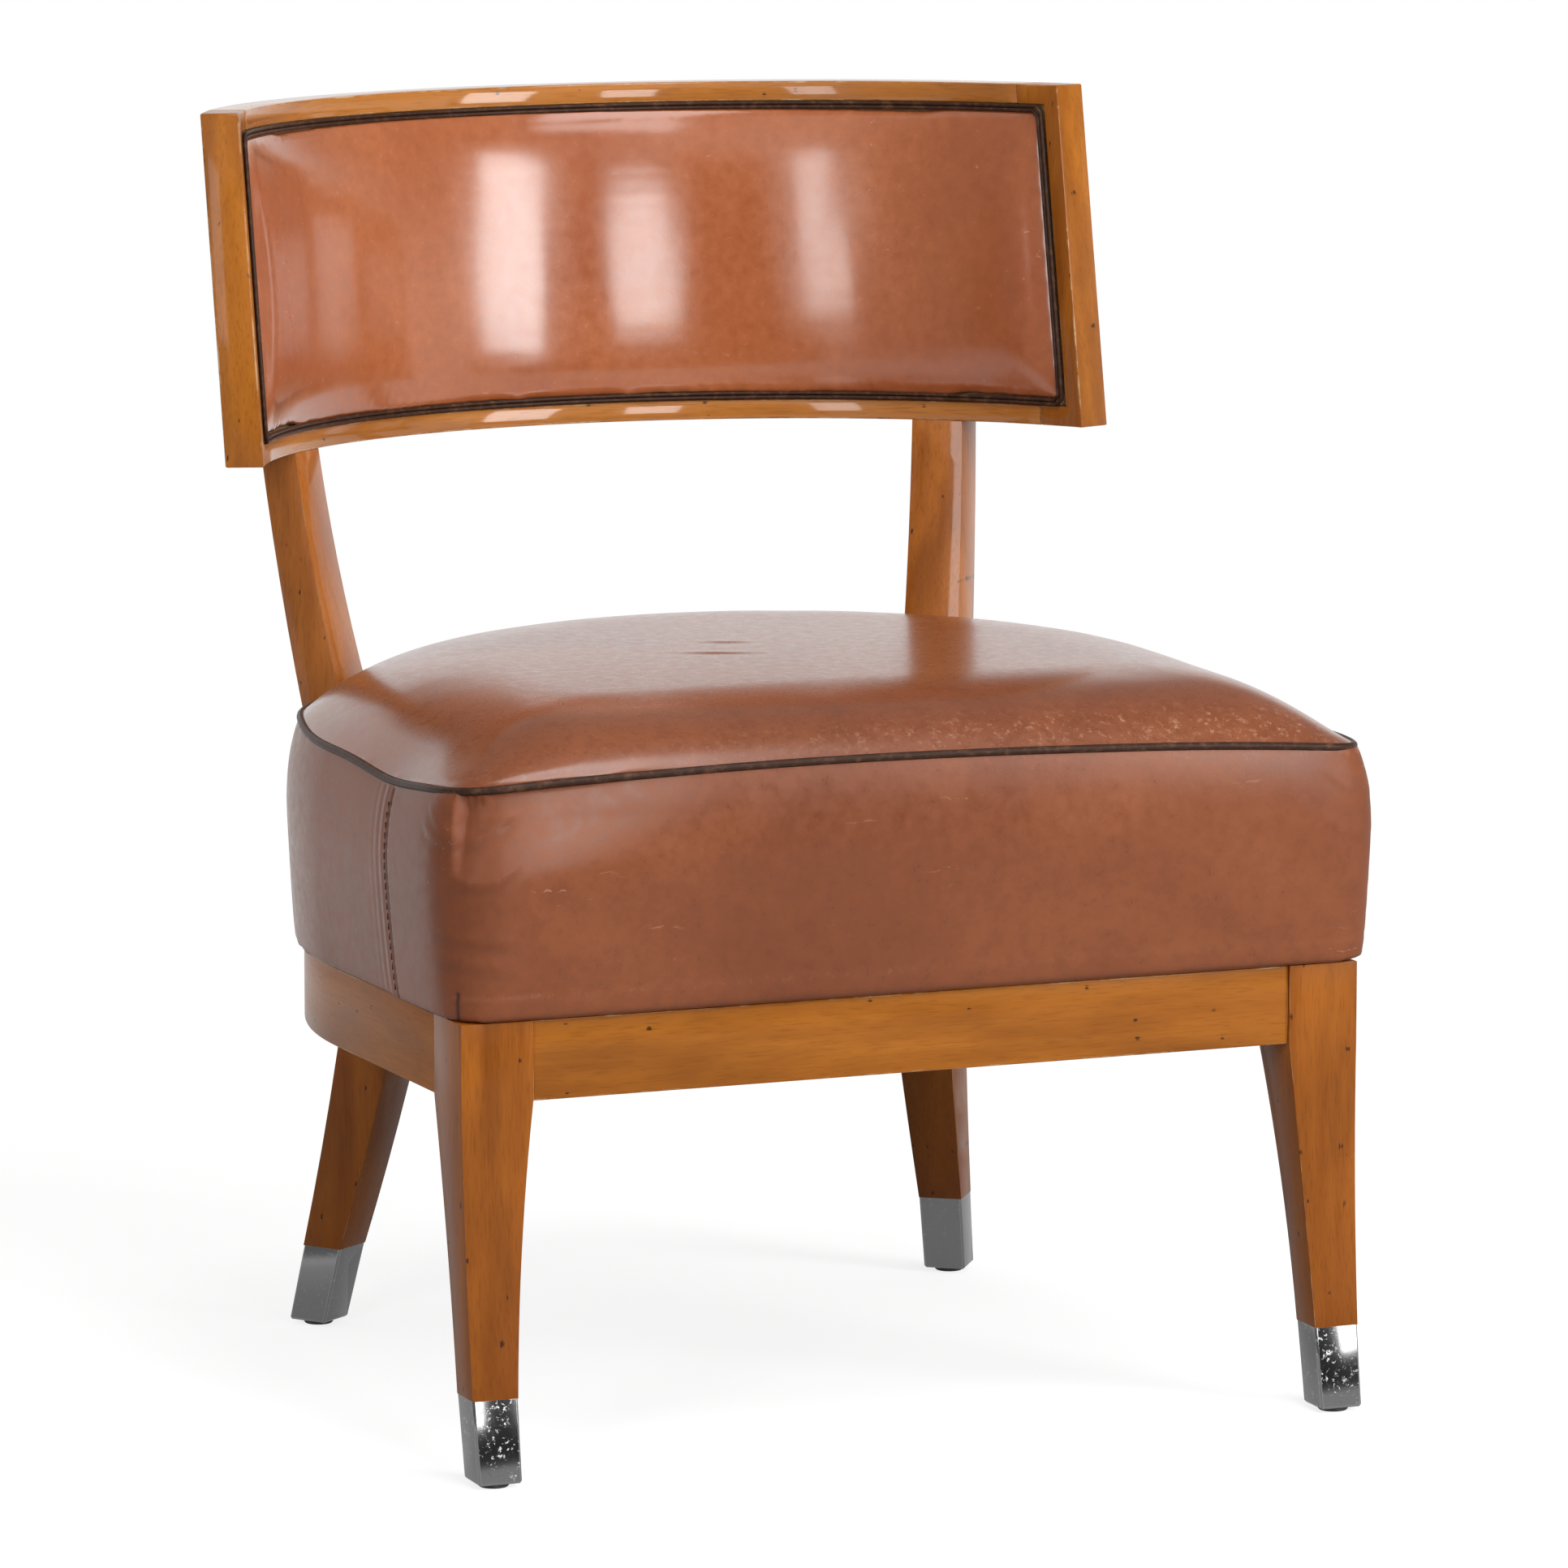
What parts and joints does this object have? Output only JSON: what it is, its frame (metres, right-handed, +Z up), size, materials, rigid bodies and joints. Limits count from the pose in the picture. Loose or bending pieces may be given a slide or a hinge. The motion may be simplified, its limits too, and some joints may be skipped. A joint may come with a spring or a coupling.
{
  "type": "cocktail chair",
  "caption": "Low armless lounge chair with a domed leather seat, a curved raked back on two posts, wooden frame and metal sabots on sabre legs.",
  "frame": {"origin": "on the floor, midway between left and right and between the foremost sabot edge and the rearmost point of the back", "axes": "+Z up, +Y towards the back of the chair, +X to the right of someone who looks at its front"},
  "size_m": [0.628, 0.6814, 0.8023],
  "materials": {
    "wood": "glossy varnish",
    "block_wood": "bare",
    "plywood": "bare",
    "leather": "polished, mottled",
    "piping": "satin",
    "foam": "open cell",
    "webbing": "woven",
    "dust_cloth": "matt",
    "sabot_metal": "polished, scratched",
    "screw_steel": "zinc plated",
    "glide": "matt"
  },
  "bodies": {
    "root": {"front_leg_left": "wood", "front_leg_right": "wood", "rear_stile_left": "wood", "rear_stile_right": "wood", "front_rail": "wood", "side_rail_left": "wood", "side_rail_right": "wood", "back_rail": "wood", "back_top_rail": "wood", "back_bottom_rail": "wood", "back_end_stile_left": "wood", "back_end_stile_right": "wood", "back_rear_panel": "wood", "corner_block_left": "block_wood", "corner_block_right": "block_wood", "rear_block": "block_wood", "seat_base": "plywood", "back_pad_board": "plywood", "seat_top_cover": "leather", "seat_front_boxing": "leather", "seat_side_boxing_left": "leather", "seat_side_boxing_right": "leather", "seat_back_boxing": "leather", "back_pad_cover": "leather", "seat_piping": "piping", "back_piping": "piping", "seat_foam": "foam", "back_pad_foam": "foam", "seat_webbing": "webbing", "seat_dust_cover": "dust_cloth", "sabot_front_left": "sabot_metal", "sabot_front_right": "sabot_metal", "sabot_rear_left": "sabot_metal", "sabot_rear_right": "sabot_metal", "sabot_pins": "sabot_metal", "seat_screws": "screw_steel", "glides": "glide"}
  },
  "joints": []
}
